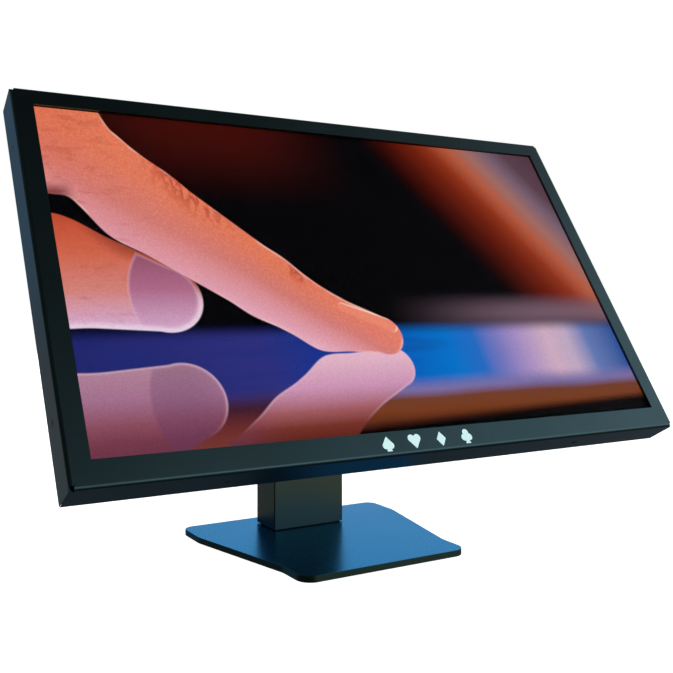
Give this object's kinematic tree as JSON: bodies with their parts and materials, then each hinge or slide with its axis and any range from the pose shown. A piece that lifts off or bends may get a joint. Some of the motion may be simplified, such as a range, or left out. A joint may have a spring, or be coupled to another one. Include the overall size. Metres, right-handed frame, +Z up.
{
  "type": "touchscreen gaming monitor",
  "caption": "Wide touch monitor in a folded metal bezel tray, tilted back on a friction hinge above a plain box column and a flared flat base plate.",
  "frame": {"origin": "on the resting surface, under the middle of the column", "axes": "+X to the right as seen by the person facing the screen, +Y away from that person, +Z up"},
  "size_m": [0.563, 0.2396, 0.3904],
  "materials": {
    "base_paint": "satin",
    "body_paint": "satin",
    "black_paint": "satin",
    "zinc_steel": "satin",
    "bronze": "satin",
    "black_plastic": "matte",
    "rubber": "matte",
    "badge_print": "gloss",
    "touch_glass": "gloss",
    "display": "gloss",
    "optical_film": "matte",
    "clear_acrylic": "gloss",
    "circuit": "satin",
    "flex_lead": "satin"
  },
  "bodies": {
    "stand": {"base_plate": "base_paint", "base_pad": "rubber", "foot_screws": "zinc_steel", "column_foot": "black_paint", "column_shell": "body_paint", "column_rear_cover": "black_paint", "rear_cover_screws": "zinc_steel", "column_cap": "black_plastic", "hinge_backing_plate": "zinc_steel", "hinge_fork": "black_paint", "fork_screws": "zinc_steel", "hinge_pin": "zinc_steel", "friction_washers": "bronze", "spring_washers": "zinc_steel", "hinge_nut": "zinc_steel", "cable_clip": "black_plastic"},
    "screen": {"bezel_tray": "body_paint", "suit_badge": "badge_print", "window_gasket": "rubber", "touch_glass": "touch_glass", "optical_bond": "clear_acrylic", "panel_mid_frame": "black_paint", "lcd_cell": "display", "diffuser_stack": "optical_film", "light_guide": "clear_acrylic", "reflector_sheet": "optical_film", "led_bar": "optical_film", "panel_back_pan": "zinc_steel", "panel_rails": "zinc_steel", "rail_nuts": "zinc_steel", "rear_cover": "black_paint", "wall_screws": "black_paint", "electronics_housing": "black_paint", "housing_screws": "zinc_steel", "mounting_plate": "zinc_steel", "tilt_bracket": "black_paint", "mounting_screws": "zinc_steel", "board_standoffs": "zinc_steel", "controller_board": "circuit", "board_screws": "zinc_steel", "hdmi_socket": "zinc_steel", "vga_socket": "zinc_steel", "usb_socket": "zinc_steel", "power_socket": "black_plastic", "touch_controller": "circuit", "touch_ribbon": "flex_lead", "panel_ribbon": "flex_lead", "button_board": "circuit", "button_switches": "black_plastic", "button_ribbon": "flex_lead"},
    "power_button_cap": {"power_button": "black_plastic"},
    "menu_button_cap": {"menu_button": "black_plastic"},
    "up_button_cap": {"up_button": "black_plastic"},
    "down_button_cap": {"down_button": "black_plastic"},
    "input_button_cap": {"input_button": "black_plastic"}
  },
  "joints": [
    {"name": "screen_tilt", "type": "hinge", "parent": "stand", "child": "screen", "pos_m": [0, -0.0524, 0.211], "axis": [-1, 0, 0], "range_deg": [-31.4, 43.6]},
    {"name": "power_button_press", "type": "slide", "parent": "screen", "child": "power_button_cap", "axis": [0, -0.8536, 0.521], "range_m": [0, 0.0008], "stiffness_N_per_m": 900},
    {"name": "menu_button_press", "type": "slide", "parent": "screen", "child": "menu_button_cap", "axis": [0, -0.8536, 0.521], "range_m": [0, 0.0008], "stiffness_N_per_m": 900},
    {"name": "up_button_press", "type": "slide", "parent": "screen", "child": "up_button_cap", "axis": [0, -0.8536, 0.521], "range_m": [0, 0.0008], "stiffness_N_per_m": 900},
    {"name": "down_button_press", "type": "slide", "parent": "screen", "child": "down_button_cap", "axis": [0, -0.8536, 0.521], "range_m": [0, 0.0008], "stiffness_N_per_m": 900},
    {"name": "input_button_press", "type": "slide", "parent": "screen", "child": "input_button_cap", "axis": [0, -0.8536, 0.521], "range_m": [0, 0.0008], "stiffness_N_per_m": 900}
  ]
}
